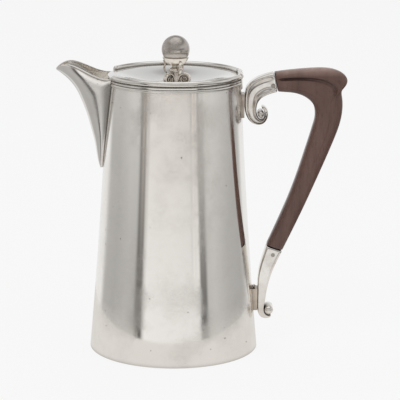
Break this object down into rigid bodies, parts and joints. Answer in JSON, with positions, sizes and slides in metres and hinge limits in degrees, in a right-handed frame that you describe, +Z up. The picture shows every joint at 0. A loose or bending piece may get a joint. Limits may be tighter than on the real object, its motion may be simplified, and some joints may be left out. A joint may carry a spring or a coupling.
{
  "type": "coffee pot",
  "caption": "Tapering silver coffee pot with a flat hinged lid, ball finial, open beak spout and a carved wooden handle in scrolled silver sockets.",
  "frame": {"origin": "centre of the circle that the pot stands on, on the axis of its body", "axes": "+Z up along the body's axis, +X towards the handle, -X towards the spout"},
  "size_m": [0.1711, 0.1, 0.1869],
  "materials": {
    "body_silver": "polished silver, finely scratched",
    "moulding_silver": "bright polished silver",
    "lid_silver": "flat polished silver, finely scratched",
    "handle_silver": "polished silver with tarnish in the recesses",
    "finial_silver": "silver with a warm tarnish",
    "inside_silver": "dull tarnished silver",
    "pin_silver": "worn silver",
    "wood": "dark reddish carved wood, waxed and worn"
  },
  "bodies": {
    "pot": {"body_shell": "body_silver", "base_plate": "body_silver", "foot_ring": "body_silver", "rim_band": "moulding_silver", "rim_wire": "moulding_silver", "spout": "body_silver", "hinge_body_leaf": "moulding_silver", "hinge_pin": "pin_silver", "upper_pad": "handle_silver", "upper_socket": "handle_silver", "upper_pellet": "handle_silver", "upper_pin": "pin_silver", "wood_grip": "wood", "lower_socket": "handle_silver", "lower_ball": "handle_silver", "lower_pin": "pin_silver", "lower_pad": "handle_silver", "lower_bead": "handle_silver"},
    "lid": {"lid_plate": "lid_silver", "lid_wire": "moulding_silver", "lid_collar": "inside_silver", "hinge_lid_leaf": "moulding_silver", "finial_foot": "finial_silver", "finial_cup": "finial_silver", "finial_ball": "finial_silver", "finial_scrolls": "finial_silver", "finial_tendrils": "finial_silver", "finial_stud": "pin_silver", "finial_washer": "pin_silver", "finial_nut": "pin_silver"}
  },
  "joints": [
    {"name": "lid_hinge", "type": "hinge", "parent": "pot", "child": "lid", "pos_m": [0.03865, 0, 0.1644], "axis": [0, 1, 0], "range_deg": [0, 105]}
  ]
}
